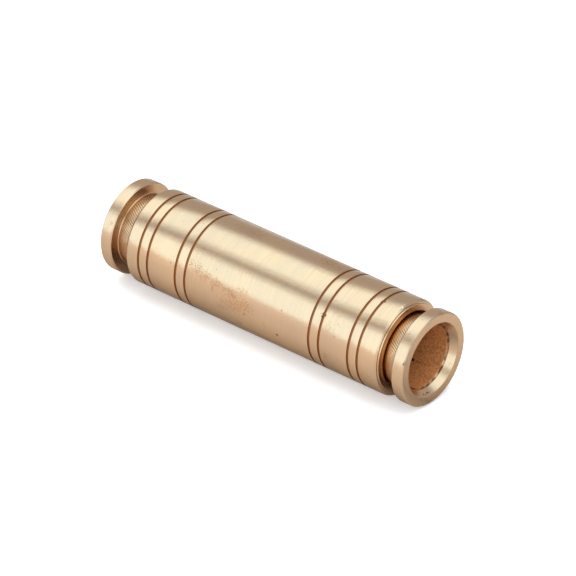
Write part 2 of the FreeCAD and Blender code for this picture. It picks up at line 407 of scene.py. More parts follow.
def tarnish_group() -> bpy.types.NodeTree:
    """Group for blotches and specks of tarnish.

    Returns:
        The node group.  Cloud is a slow change of tone, Blotch the stained places and Speck small dark dots.
    """
    graph, given, made = new_group("tarnish", {"Vector": ("Vector", None), "Spread": ("Float", 0.62)},
                                   ("Cloud", "Blotch", "Speck"))
    vector = given.outputs["Vector"]
    graph.feed(made.inputs["Cloud"], graph.noise(vector, 0.16, 3.0, 0.6))
    large = graph.noise(vector, 0.42, 4.0, 0.62)
    fine = graph.noise(vector, 2.1, 3.0, 0.65)
    both = graph.math("ADD", graph.math("MULTIPLY", large, 0.7), graph.math("MULTIPLY", fine, 0.3))
    edge = given.outputs["Spread"]
    blotch = graph.add("ShaderNodeMapRange", {"interpolation_type": "SMOOTHSTEP"}, Value=both,
                       From_Min=edge, From_Max=graph.math("ADD", edge, 0.07))
    graph.feed(made.inputs["Blotch"], blotch.outputs[0])
    cells = graph.add("ShaderNodeTexVoronoi", {"feature": "F1"}, Vector=vector, Scale=0.75)
    near = graph.span(cells.outputs["Distance"], 0.05, 0.13, 1.0, 0.0)
    chosen = graph.span(graph.noise(vector, 0.3, 2.0), 0.52, 0.66)
    graph.feed(made.inputs["Speck"], graph.math("MULTIPLY", near, chosen))
    return graph.tree


def stain_group() -> bpy.types.NodeTree:
    """Group for one stain or nick at a chosen place.

    Returns:
        The node group.  Mask is 1 in the middle of the mark.
    """
    graph, given, made = new_group(
        "single_mark", {"Vector": ("Vector", None), "Ragged": ("Float", 0.0), "Centre": ("Vector", None),
                        "Stretch": ("Vector", None), "Size": ("Float", 0.6)}, ("Mask",))
    away = graph.add("ShaderNodeVectorMath", {"operation": "SUBTRACT"}, i0=given.outputs["Vector"],
                     i1=given.outputs["Centre"])
    scaled = graph.add("ShaderNodeVectorMath", {"operation": "MULTIPLY"}, i0=away.outputs[0],
                       i1=given.outputs["Stretch"])
    length = graph.add("ShaderNodeVectorMath", {"operation": "LENGTH"}, i0=scaled.outputs[0])
    reach = graph.math("ADD", graph.math("DIVIDE", length.outputs["Value"], given.outputs["Size"]),
                       given.outputs["Ragged"])
    graph.feed(made.inputs["Mask"], graph.span(reach, 0.45, 1.05, 1.0, 0.0))
    return graph.tree


@dataclass(frozen=True)
class Mark:
    """A stain, nick or burr at one place on a turned surface.

    Args:
        along: distance along X, in millimetres.
        angle: direction from the axis, in degrees from +Y towards +Z.
        radius: distance from the axis, in millimetres.
        size: reach of the mark, in millimetres.
        stretch: how much shorter the mark is along X than across it.
        colour: the mark's colour.
        strength: share of the mark's colour in its middle.
    """

    along: float
    angle: float
    radius: float
    size: float
    stretch: float
    colour: Colour
    strength: float

    @property
    def centre(self) -> tuple[float, float, float]:
        """The mark's middle, in millimetres."""
        turn = math.radians(self.angle)
        return self.along, self.radius * math.cos(turn), self.radius * math.sin(turn)


@dataclass
class Toolbox:
    """The node groups that several finishes share."""

    axial: bpy.types.NodeTree = field(default_factory=axial_group)
    turning: bpy.types.NodeTree = field(init=False)
    tarnish: bpy.types.NodeTree = field(default_factory=tarnish_group)
    stain: bpy.types.NodeTree = field(default_factory=stain_group)

    def __post_init__(self) -> None:
        """Build the groups that need another group."""
        self.turning = turning_group(self.axial)


def new_material(name: str) -> tuple[bpy.types.Material, Graph, bpy.types.Node, Socket]:
    """Make an empty material whose coordinates are in millimetres.

    Args:
        name: the material's name.

    Returns:
        The material, its graph, its Principled BSDF and the coordinates' output.
    """
    material = bpy.data.materials.new(name)
    material.use_nodes = True
    graph = Graph(material.node_tree)
    shader = material.node_tree.nodes["Principled BSDF"]
    coordinates = graph.add("ShaderNodeTexCoord")
    place = graph.add("ShaderNodeVectorMath", {"operation": "SCALE"}, Vector=coordinates.outputs["Object"],
                      Scale=1 / MM)
    return material, graph, shader, place.outputs[0]


@dataclass(frozen=True)
class TurnedBrass:
    """Bare brass straight off the lathe, a little handled and tarnished, with an optional painted orange reflection
    on a stem and optional painted shade in a knurl's cuts.

    Args:
        name: the material's name.
        colour: the clean metal.
        stained: the colour of its tarnish.
        oxide: the colour left in grooves and specks.
        reddened: the colour of a dull bore.
        reflected_orange: colour of the painted reflection that the brass round a stem casts on it near the body's
            mouth.
        cut_shade: colour of the painted shade in a knurl's cuts.
        gloss: roughness of the clean metal.
        pull: how far the highlight is drawn out across the tool marks.
        track_depth: strength of the tool marks.
        pitting: strength of the fine unevenness of the skin.
        spread: threshold of the tarnish, higher for less of it.
        grooves: distances along the axis at which the marking lines start and end, or None.
        groove_edge: radii between which the brown of a marking line fades out.
        bore_radius: radius under which the metal is redder and duller, or None.
        reflection_span: distances from the coupling's middle between which the painted orange reflection fades out,
            or None.
        cuts: radii between which the painted shade in a knurl's cuts fades out, or None.
        cuts_begin: distances from the coupling's middle between which that painted shade fades in.
        streak_share: strength of the broad rings.
        line_share: strength of the fine rings.
        tarnish_share: strength of the blotches and specks.
        reflection_share: strength of the painted orange reflection on the stem.
        oxide_share: strength of the brown in the marking lines.
        marks: single stains and nicks.
    """

    name: str
    colour: Colour = (0.65, 0.415, 0.24, 1.0)
    stained: Colour = (0.44, 0.215, 0.10, 1.0)
    oxide: Colour = (0.36, 0.125, 0.03, 1.0)
    reddened: Colour = (0.74, 0.31, 0.105, 1.0)
    reflected_orange: Colour = (0.72, 0.30, 0.085, 1.0)
    cut_shade: Colour = (0.16, 0.06, 0.02, 1.0)
    gloss: float = 0.20
    pull: float = 0.55
    track_depth: float = 0.07
    pitting: float = 0.8
    spread: float = 0.63
    grooves: tuple[float, float] | None = None
    groove_edge: tuple[float, float] = (7.46, 7.49)
    bore_radius: float | None = None
    reflection_span: tuple[float, float] | None = None
    cuts: tuple[float, float] | None = None
    cuts_begin: tuple[float, float] = (22.0, 22.1)
    streak_share: float = 0.15
    line_share: float = 0.3
    tarnish_share: float = 0.45
    reflection_share: float = 0.8
    oxide_share: float = 0.94
    marks: tuple[Mark, ...] = ()

    def make(self, tools: Toolbox) -> bpy.types.Material:
        """Build the material.

        Args:
            tools: the shared node groups.

        Returns:
            The material.
        """
        material, graph, shader, place = new_material(self.name)
        axial = graph.add("ShaderNodeGroup", {"node_tree": tools.axial}, Vector=place)
        turning = graph.add("ShaderNodeGroup", {"node_tree": tools.turning}, Vector=place)
        tarnish = graph.add("ShaderNodeGroup", {"node_tree": tools.tarnish}, Vector=place, Spread=self.spread)

        cooler = scaled(self.colour, 0.93, 0.96, 1.02)
        darker = scaled(self.colour, 0.86)
        streak = graph.span(turning.outputs["Streaks"], 0.35, 0.65)
        line = graph.span(turning.outputs["Height"], 0.3, 0.7)
        colour = graph.tint(graph.span(tarnish.outputs["Cloud"], 0.38, 0.62), self.colour, cooler)
        colour = graph.fade(streak, self.streak_share, colour, darker)
        colour = graph.fade(line, self.line_share, colour, darker)
        colour = graph.fade(tarnish.outputs["Blotch"], self.tarnish_share, colour, self.stained)
        colour = graph.fade(tarnish.outputs["Speck"], self.tarnish_share, colour, self.oxide)
        # painted reflection: the stem is tinted orange inside the body's mouth, standing in for the light that the
        # brass round it throws onto it
        if self.reflection_span is not None:
            reflection_mask = graph.span(graph.math("ABSOLUTE", axial.outputs["Along"]), *self.reflection_span, 1.0, 0.0)
            colour = graph.fade(reflection_mask, self.reflection_share, colour, self.reflected_orange)
        # painted shade: the roots of the knurl's shallow cuts are darkened, standing in for the shade that sharper
        # cuts would hold
        if self.cuts is not None:
            cut = graph.span(axial.outputs["Radius"], *self.cuts, 1.0, 0.0)
            outside = graph.span(graph.math("ABSOLUTE", axial.outputs["Along"]), *self.cuts_begin)
            uneven = graph.span(graph.noise(place, 0.8, 2.0, 0.6), 0.4, 0.6, 0.45, 1.0)
            painted_cut_shade = graph.math("MULTIPLY", graph.math("MULTIPLY", cut, outside), uneven)
            colour = graph.tint(painted_cut_shade, colour, self.cut_shade)
        roughness = graph.math("ADD", self.gloss, graph.math("MULTIPLY", streak, 0.04))
        roughness = graph.math("ADD", roughness, graph.math("MULTIPLY", tarnish.outputs["Blotch"], 0.12))
        if self.bore_radius is not None:
            inner = graph.span(axial.outputs["Radius"], self.bore_radius - 0.02, self.bore_radius + 0.03, 1.0, 0.0)
            grain = graph.span(graph.noise(place, 2.7, 4.0, 0.8), 0.36, 0.66)
            colour = graph.tint(inner, colour, graph.tint(grain, self.reddened, scaled(self.reddened, 0.5)))
            roughness = graph.math("ADD", roughness, graph.math("MULTIPLY", inner, 0.2))
            graph.feed(shader.inputs["Metallic"], graph.span(inner, 0.0, 1.0, 1.0, 0.35))
        else:
            shader.inputs["Metallic"].default_value = 1.0
        if self.marks:
            ragged = graph.span(graph.noise(place, 3.4, 3.0, 0.7), 0.3, 0.7, -0.5, 0.5)
            broken = graph.span(graph.noise(place, 3.6, 4.0, 0.75), 0.45, 0.56, 0.15, 1.0)
        for mark in self.marks:
            stain = graph.add("ShaderNodeGroup", {"node_tree": tools.stain}, Vector=place, Ragged=ragged,
                              Centre=mark.centre, Stretch=(mark.stretch, 1.0, 1.0), Size=mark.size)
            share = graph.math("MULTIPLY", stain.outputs["Mask"], mark.strength)
            if mark.size > BROAD_MARK:
                share = graph.math("MULTIPLY", share, broken)
            colour = graph.tint(share, colour, mark.colour)
        if self.grooves is not None:
            first, last = self.grooves
            sunk = graph.span(axial.outputs["Radius"], *self.groove_edge, 1.0, 0.0)
            far = graph.math("ABSOLUTE", graph.math("SUBTRACT", axial.outputs["Along"], (first + last) / 2))
            within = graph.span(far, (last - first) / 2, (last - first) / 2 + 0.1, 1.0, 0.0)
            brown = graph.math("MULTIPLY", sunk, within)
            colour = graph.fade(brown, self.oxide_share, colour, self.oxide)
            roughness = graph.math("ADD", roughness, graph.math("MULTIPLY", brown, 0.35))
        graph.feed(shader.inputs["Base Color"], colour)
        graph.feed(shader.inputs["Roughness"], roughness)
        shader.inputs["Specular Tint"].default_value = (0.92, 0.82, 0.70, 1.0)
        shader.inputs["Anisotropic"].default_value = self.pull
        shader.inputs["Anisotropic Rotation"].default_value = 0.25
        tangent = graph.add("ShaderNodeTangent", {"direction_type": "RADIAL", "axis": "X"})
        graph.feed(shader.inputs["Tangent"], tangent.outputs[0])
        pitted = graph.add("ShaderNodeBump", Strength=self.pitting, Distance=RELIEF,
                           Height=graph.noise(place, 1.9, 4.0, 0.8))
        bump = graph.add("ShaderNodeBump", Strength=self.track_depth, Distance=RELIEF,
                         Height=turning.outputs["Height"], Normal=pitted.outputs[0])
        graph.feed(shader.inputs["Normal"], bump.outputs[0])
        return material


@dataclass(frozen=True)
class SpringSteel:
    """Bright steel with fine drawn lines and a cloudy sheen.

    Args:
        name: the material's name.
        colour: the clean metal.
        gloss: roughness of the clean metal.
    """

    name: str
    colour: Colour = (0.50, 0.50, 0.51, 1.0)
    gloss: float = 0.26

    def make(self, tools: Toolbox) -> bpy.types.Material:
        """Build the material.

        Args:
            tools: the shared node groups.

        Returns:
            The material.
        """
        material, graph, shader, place = new_material(self.name)
        turning = graph.add("ShaderNodeGroup", {"node_tree": tools.turning}, Vector=place, Fine=20.0)
        tarnish = graph.add("ShaderNodeGroup", {"node_tree": tools.tarnish}, Vector=place, Spread=0.6)
        cloud = graph.span(tarnish.outputs["Cloud"], 0.4, 0.65)
        graph.feed(shader.inputs["Base Color"], graph.tint(cloud, self.colour, scaled(self.colour, 0.7)))
        graph.feed(shader.inputs["Roughness"], graph.math("ADD", self.gloss, graph.math("MULTIPLY", cloud, 0.1)))
        shader.inputs["Metallic"].default_value = 1.0
        bump = graph.add("ShaderNodeBump", Strength=0.15, Distance=RELIEF, Height=turning.outputs["Height"])
        graph.feed(shader.inputs["Normal"], bump.outputs[0])
        return material


@dataclass(frozen=True)
class MouldedSoft:
    """Moulded plastic or rubber with a fine grain and a faint bloom.

    Args:
        name: the material's name.
        colour: the material's own colour.
        bloom: the colour of the dust or bloom on it.
        gloss: roughness.
        grain: strength of its grain.
    """

    name: str
    colour: Colour
    bloom: Colour
    gloss: float = 0.5
    grain: float = 0.3

    def make(self, tools: Toolbox) -> bpy.types.Material:
        """Build the material.

        Args:
            tools: the shared node groups.

        Returns:
            The material.
        """
        material, graph, shader, place = new_material(self.name)
        tarnish = graph.add("ShaderNodeGroup", {"node_tree": tools.tarnish}, Vector=place, Spread=0.58)
        cloud = graph.span(tarnish.outputs["Cloud"], 0.35, 0.65)
        graph.feed(shader.inputs["Base Color"], graph.tint(cloud, self.colour, self.bloom))
        graph.feed(shader.inputs["Roughness"], graph.math("ADD", self.gloss, graph.math("MULTIPLY", cloud, 0.12)))
        grain = graph.noise(place, 9.0, 3.0, 0.6)
        bump = graph.add("ShaderNodeBump", Strength=self.grain, Distance=RELIEF, Height=grain)
        graph.feed(shader.inputs["Normal"], bump.outputs[0])
        return material


BROAD_MARK = 0.45       # a larger mark than this, in millimetres, is broken up into specks
RUST = (0.385, 0.18, 0.075, 1.0)
DARK_SPOT = (0.035, 0.015, 0.008, 1.0)
SMEAR = (0.50, 0.26, 0.115, 1.0)
BRIGHT = (0.88, 0.72, 0.52, 1.0)


def body_marks() -> tuple[Mark, ...]:
    """Stains and burrs on the body: mostly rust specks low on its front, and two burrs in its lines."""
    skin = 7.5
    return (
        Mark(-11.3, 153, skin, 0.7, 1.0, RUST, 0.54), Mark(-9.9, 156, skin, 0.9, 0.8, RUST, 0.61),
        Mark(-8.2, 158, skin, 0.7, 0.8, RUST, 0.61), Mark(-6.7, 172, skin, 0.5, 1.8, RUST, 0.50),
        Mark(-0.6, 173, skin, 0.8, 0.5, RUST, 0.50), Mark(-1.3, 159, skin, 0.7, 0.6, RUST, 0.43),
        Mark(-6.3, 163, skin, 0.8, 0.6, RUST, 0.68), Mark(-6.9, 171, skin, 0.6, 2.2, RUST, 0.53),
        Mark(-3.3, 167, skin, 0.9, 0.8, RUST, 0.68), Mark(-4.6, 165, skin, 0.5, 1.0, RUST, 0.58),
        Mark(-8.8, 161, skin, 0.9, 0.9, RUST, 0.39), Mark(-10.7, 155, skin, 1.3, 1.0, RUST, 0.31),
        Mark(-1.9, 177, skin, 1.4, 0.4, SMEAR, 0.65), Mark(-3.0, 182, skin, 1.0, 0.35, SMEAR, 0.59),
        Mark(-0.7, 184, skin, 0.4, 1.6, RUST, 0.63), Mark(3.1, 188, skin, 0.5, 1.5, RUST, 0.49),
        Mark(-2.1, 204, skin, 0.5, 0.7, RUST, 0.53), Mark(-5.2, 189, skin, 0.6, 0.5, RUST, 0.36),
        Mark(5.4, 194, skin, 0.26, 1.0, DARK_SPOT, 0.75), Mark(6.1, 160, skin, 0.2, 1.0, RUST, 0.68),
        Mark(-15.1, 162, skin, 0.22, 1.0, RUST, 0.68), Mark(16.1, 162, skin, 0.24, 1.0, RUST, 0.68),
        Mark(14.7, 156, skin, 0.9, 1.0, RUST, 0.30), Mark(14.5, 192, skin, 0.8, 1.4, RUST, 0.58),
        Mark(8.0, 77, skin, 1.3, 0.7, RUST, 0.49), Mark(10.6, 79, skin, 1.0, 0.7, RUST, 0.44),
        Mark(-6.2, 84, skin, 1.6, 0.5, RUST, 0.34), Mark(-13.6, 100, skin, 0.9, 0.6, RUST, 0.30),
        Mark(13.32, 146, 7.35, 0.42, 0.8, DARK_SPOT, 0.95), Mark(20.55, 101, 7.4, 0.36, 0.9, DARK_SPOT, 1.0),
        Mark(23.62, 97, 7.4, 0.17, 1.0, BRIGHT, 0.8))


def flange_marks() -> tuple[Mark, ...]:
    """Scratches on the rims and dark marks in the mouth of the right flange."""
    return (
        Mark(28.62, 158, 7.25, 0.5, 2.5, DARK_SPOT, 0.7), Mark(28.62, 76, 7.2, 0.8, 3.0, SMEAR, 0.95),
        Mark(28.5, -108, 5.5, 0.24, 1.0, DARK_SPOT, 0.85), Mark(28.5, -103, 5.5, 0.22, 1.4, DARK_SPOT, 0.8),
        Mark(28.45, -98, 5.45, 0.26, 1.0, DARK_SPOT, 0.8), Mark(28.55, -93, 5.5, 0.2, 1.0, SMEAR, 0.95),
        Mark(28.6, 152, 5.35, 0.3, 1.0, DARK_SPOT, 1.0), Mark(28.5, -35, 5.3, 0.35, 1.0, RUST, 0.81),
        Mark(27.4, 126, 7.3, 0.5, 1.0, SMEAR, 0.65), Mark(-27.6, 150, 7.3, 0.5, 1.4, RUST, 0.54))


# ---------------------------------------------------------------- pieces


def dress(obj: bpy.types.Object, material: bpy.types.Material) -> None:
    """Give an object one finish.

    Args:
        obj: the piece.
        material: its finish.
    """
    obj.data.materials.clear()
    obj.data.materials.append(material)


def stand_for(obj: bpy.types.Object, node: str, body: str, material: bpy.types.Material) -> None:
    """Finish a piece made here and put it in a CAD node's place.

    Args:
        obj: the piece.
        node: the CAD node that it replaces.
        body: the moving body that it rides on.
        material: its finish.
    """
    dress(obj, material)
    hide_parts(node)
    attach(obj, body)
    log.info("built %s", obj.name)


@dataclass
class CouplingBody:
    """The turned outer body with its four pairs of marking lines.

    Lengths are in millimetres from the middle of the body.
    """

    radius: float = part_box("coupling_body")[1].z / MM
    half_length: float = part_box("coupling_body")[1].x / MM
    line_starts: tuple[float, ...] = (11.72, 13.57, 19.01, 20.78)
    line_shift: float = 0.4
    line_width: float = 0.42
    line_overcut: float = 0.06
    line_slope: float = 0.02
    line_depth: float = 0.24
    lip_height: float = 0.20
    shoulder_run: float = 0.35
    shoulder_drop: float = 0.35
    lip_drop: float = 0.55
    chamber_radius: float = 6.5
    mouth_lip: tuple[float, float] = (0.6, 5.9)
    clip_groove: tuple[float, float, float] = (22.62, 23.38, 6.85)
    chamber_start: float = 14.1
    gland: tuple[float, float] = (8.6, 6.25)
    tube_seat: tuple[float, float] = (1.5, 4.85)
    stop_radius: float = 3.6
    columns: int = 240

    def outer_half(self, side: Side) -> list[Corner]:
        """Outline of the outside from the middle to the mouth of one end.

        Args:
            side: the end that is drawn.

        Returns:
            The outline's corners.
        """
        shoulder = self.half_length - self.lip_height
        floor, lip = self.radius - self.line_depth, self.radius - self.lip_drop
        corners = []
        for start in self.line_starts:
            begin = start - side.value * self.line_shift - self.line_overcut
            end = begin + self.line_width
            corners += [Corner(begin, self.radius, 0.03), Corner(begin + self.line_slope, floor, 0.07),
                        Corner(end - self.line_slope, floor, 0.07), Corner(end, self.radius, 0.03)]
        return corners + [
            Corner(shoulder - self.shoulder_run, self.radius, 0.25),
            Corner(shoulder, self.radius - self.shoulder_drop, 0.1),
            Corner(shoulder, lip, 0.04),
            Corner(self.half_length, lip, 0.08),
            Corner(self.half_length, self.mouth_lip[1], 0.1)]

    def inner_half(self) -> list[Corner]:
        """Outline of the bores from the mouth of one end to the middle."""
        groove_start, groove_end, groove_radius = self.clip_groove
        gland_start, gland_radius = self.gland
        lip_length, lip_radius = self.mouth_lip
        seat_start, seat_radius = self.tube_seat
        lip_end = self.half_length - lip_length
        return [
            Corner(lip_end, lip_radius), Corner(lip_end, self.chamber_radius),
            Corner(groove_end, self.chamber_radius), Corner(groove_end, groove_radius, 0.04),
            Corner(groove_start, groove_radius, 0.04), Corner(groove_start, self.chamber_radius, 0.04),
            Corner(self.chamber_start, self.chamber_radius), Corner(self.chamber_start, gland_radius, 0.04),
            Corner(gland_start, gland_radius), Corner(gland_start, seat_radius, 0.2),
            Corner(seat_start, seat_radius), Corner(seat_start, self.stop_radius, 0.15)]

    def build(self, finish: bpy.types.Material) -> None:
        """Turn and dress the body.

        Args:
            finish: the body's material.
        """
        right = self.outer_half(Side.RIGHT) + self.inner_half()
        left = [Corner(-corner.along, corner.out, corner.ease)
                for corner in reversed(self.outer_half(Side.LEFT) + self.inner_half())]
        obj = turned("coupling_body_turned", eased_points(right + left), self.columns, 0.0, Side.RIGHT)
        smooth(obj)
        stand_for(obj, "coupling_body", "barrel", finish)


RING_SLACK = 0.1        # how far from the knurl, in ring pitches, a point still counts as on it
ROOT_SLACK = 0.01       # how far from the knurl's root, in millimetres, a point still counts as on it


@dataclass
class ReleaseCollet:
    """One end's moving collet: a knurled, slit sleeve and the flange pressed on it.

    Lengths are in millimetres, outwards from the finger tips.
    """

    side: Side
    slit_phase: float
    stem_length: float = 9.1
    stem_radius: float = 5.53
    bore_radius: float = 4.85
    spigot: tuple[float, float] = (1.0, 5.28)
    head_radius: float = 6.0
    head_break: float = 0.3
    head_cone: float = 1.9
    head_flat: float = 0.05
    lead_in: tuple[float, float] = (0.3, 0.22)
    grip_seat: tuple[float, float, float] = (0.4, 1.3, 5.36)
    slit_length: float = 5.5
    slit_width: float = 0.4
    slit_count: int = 6
    slit_blade: tuple[float, float, float] = (1.0, 3.0, 0.7)
    knurl_rings: int = 13
    knurl_teeth: int = 84
    knurl_crest: float = 5.54
    knurl_root: float = 5.51
    knurl_lead: float = 0.1038
    knurl_runout: float = 0.1
    hub: tuple[float, float, float] = (0.25, 5.65, 5.55)
    flange_radius: float = 7.34
    flange_width: float = 2.1
    flange_chamfer: float = 0.22
    socket: tuple[float, float] = (1.02, 5.3)
    mouth: tuple[float, float] = (5.1, 0.7)
    columns_per_tooth: int = 3
    flange_columns: int = 240

    @property
    def columns(self) -> int:
        """Number of columns round the sleeve."""
        return self.knurl_teeth * self.columns_per_tooth

    @property
    def ring_pitch(self) -> float:
        """Distance along the axis in which a cut moves round by one column."""
        return FULL_TURN / self.columns / self.knurl_lead

    @property
    def sleeve_node(self) -> str:
        """Name of the sleeve's CAD node."""
        return f"{self.side.label}_collet_sleeve"

    @property
    def flange_node(self) -> str:
        """Name of the flange's CAD node."""
        return f"{self.side.label}_release_flange"

    @property
    def datum(self) -> float:
        """Where the finger tips lie, in millimetres out of the coupling's middle."""
        low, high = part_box(self.sleeve_node)
        return min(abs(low.x), abs(high.x)) / MM

    def build_sleeve(self, finish: bpy.types.Material) -> None:
        """Turn, knurl and slit the sleeve.

        Args:
            finish: the sleeve's material.
        """
        seat_start, seat_end, seat_radius = self.grip_seat
        spigot_length, spigot_radius = self.spigot
        end = self.stem_length + spigot_length
        head = self.head_break + self.head_flat
        lead_length, lead_height = self.lead_in
        before = eased_points([
            Corner(0, self.head_radius - self.head_break), Corner(0, self.bore_radius, 0.08),
            Corner(seat_start, self.bore_radius), Corner(seat_start, seat_radius),
            Corner(seat_end, seat_radius), Corner(seat_end, self.bore_radius),
            Corner(end - lead_length, self.bore_radius, 0.15), Corner(end, self.bore_radius + lead_height, 0.05),
            Corner(end, spigot_radius, 0.05), Corner(self.stem_length, spigot_radius)])[1:]
        foot = self.stem_length - self.knurl_rings * self.ring_pitch
        knurled = [(self.stem_length - self.ring_pitch * number, self.knurl_root)
                   for number in range(self.knurl_rings + 1)]
        after = eased_points([
            Corner(foot, self.knurl_root), Corner(foot - self.knurl_runout, self.stem_radius, 0.05),
            Corner(head + self.head_cone, self.stem_radius, 0.4), Corner(head, self.head_radius, 0.05),
            Corner(self.head_break, self.head_radius, 0.05), Corner(0, self.head_radius - self.head_break)])[1:]
        obj = turned(self.sleeve_node + "_knurled", before + knurled + after, self.columns, self.datum, self.side)
        self.raise_knurl(obj)
        self.cut_slits(obj)
        smooth(obj, 25.0)
        stand_for(obj, self.sleeve_node, f"{self.side.label}_collet", finish)

    def raise_knurl(self, obj: bpy.types.Object) -> None:
        """Lift all but the knurl's cuts, which run round by one column from each ring to the next.

        Args:
            obj: the turned sleeve.
        """
        only(obj)
        bpy.ops.object.mode_set(mode="EDIT")
        bpy.ops.mesh.select_all(action="DESELECT")
        mesh = bmesh.from_edit_mesh(obj.data)
        rings: dict[int, int] = {}
        outer_end = self.datum + self.stem_length
        for vertex in mesh.verts:
            number = (outer_end - abs(vertex.co.x) / MM) / self.ring_pitch
            out = math.hypot(vertex.co.y, vertex.co.z) / MM
            in_band = -RING_SLACK < number < self.knurl_rings + RING_SLACK
            if in_band and abs(out - self.knurl_root) < ROOT_SLACK:
                rings[vertex.index] = round(number)
        for vertex in mesh.verts:
            if 0 < rings.get(vertex.index, 0) < self.knurl_rings:
                column = round(math.atan2(vertex.co.z, vertex.co.y) / FULL_TURN * self.columns)
                vertex.select = (column + self.side.value * rings[vertex.index]) % self.columns_per_tooth != 0
        band = [face for face in mesh.faces if all(vertex.index in rings for vertex in face.verts)]
        across = [face for face in band if sum(vertex.select for vertex in face.verts) == 2]
        cut_first = sum(not (face.verts[0].select or face.verts[2].select) for face in across)
        mesh.select_flush_mode()
        bmesh.update_edit_mesh(obj.data)
        ratio = self.knurl_crest / self.knurl_root
        bpy.ops.transform.resize(value=(1, ratio, ratio), center_override=(0, 0, 0))
        for face in band:
            face.select_set(True)
        bmesh.update_edit_mesh(obj.data)
        bpy.ops.mesh.quads_convert_to_tris(quad_method="FIXED" if cut_first * 2 > len(across) else "FIXED_ALTERNATE")
        bpy.ops.object.mode_set(mode="OBJECT")

    def cut_slits(self, obj: bpy.types.Object) -> None:
        """Saw the slits between the fingers.

        Args:
            obj: the sleeve.
        """
        overrun, reach, rise = self.slit_blade
        length = self.slit_length + overrun
        middle = self.side.value * (self.datum + self.slit_length - length / 2) * MM
        out = (self.bore_radius + rise) * MM
        blades = []
        for number in range(self.slit_count):
            angle = math.radians(self.slit_phase) + FULL_TURN / self.slit_count * number
            bpy.ops.object.select_all(action="DESELECT")
            bpy.ops.mesh.primitive_cube_add(
                size=MM, location=(middle, out * math.cos(angle), out * math.sin(angle)), rotation=(angle, 0, 0),
                scale=(length, reach, self.slit_width))
            blades.append(bpy.context.object)
        for blade in blades:
            blade.select_set(True)
        bpy.context.view_layer.objects.active = blades[0]
        bpy.ops.object.join()
        blade = bpy.context.object
        bpy.ops.object.transform_apply(location=True, rotation=True, scale=True)
        only(obj)
        cut = obj.modifiers.new("slits", "BOOLEAN")
        cut.operation = "DIFFERENCE"
        cut.solver = "EXACT"
        cut.object = blade
        bpy.ops.object.modifier_apply(modifier=cut.name)
        bpy.data.objects.remove(blade)

    def build_flange(self, finish: bpy.types.Material) -> None:
        """Turn the release flange.

        Args:
            finish: the flange's material.
        """
        hub_length, hub_radius, hub_bore = self.hub
        socket_depth, socket_radius = self.socket
        mouth_radius, mouth_chamfer = self.mouth
        front = hub_length + self.flange_width
        corners = [
            Corner(0, hub_bore), Corner(hub_length, hub_bore), Corner(hub_length, socket_radius),
            Corner(hub_length + socket_depth, socket_radius), Corner(hub_length + socket_depth, mouth_radius),
            Corner(front, mouth_radius + mouth_chamfer, 0.08),
            Corner(front, self.flange_radius - self.flange_chamfer, 0.14),
            Corner(front - self.flange_chamfer, self.flange_radius, 0.14),
            Corner(hub_length + self.flange_chamfer, self.flange_radius, 0.06),
            Corner(hub_length, self.flange_radius - self.flange_chamfer, 0.06),
            Corner(hub_length, hub_radius, 0.15), Corner(0, hub_radius)]
        datum = self.datum + self.stem_length - hub_length
        obj = turned(self.flange_node + "_turned", eased_points(corners), self.flange_columns, datum, self.side)
        smooth(obj)
        stand_for(obj, self.flange_node, f"{self.side.label}_collet", finish)


# ---------------------------------------------------------------- studio


SOFTBOXES = (           # name, near and far edge in degrees, radiance, and whether the metal mirrors it
    ("overhead_edge", 50, 117, 0.90, True), ("overhead_middle", 60, 106, 0.86, True),
    ("front_edge", 128, 181, 0.90, True), ("front_middle", 137, 180, 0.95, True),
    ("overhead_fill", 54, 115, 1.45, False), ("front_fill", 133, 180, 1.45, False))


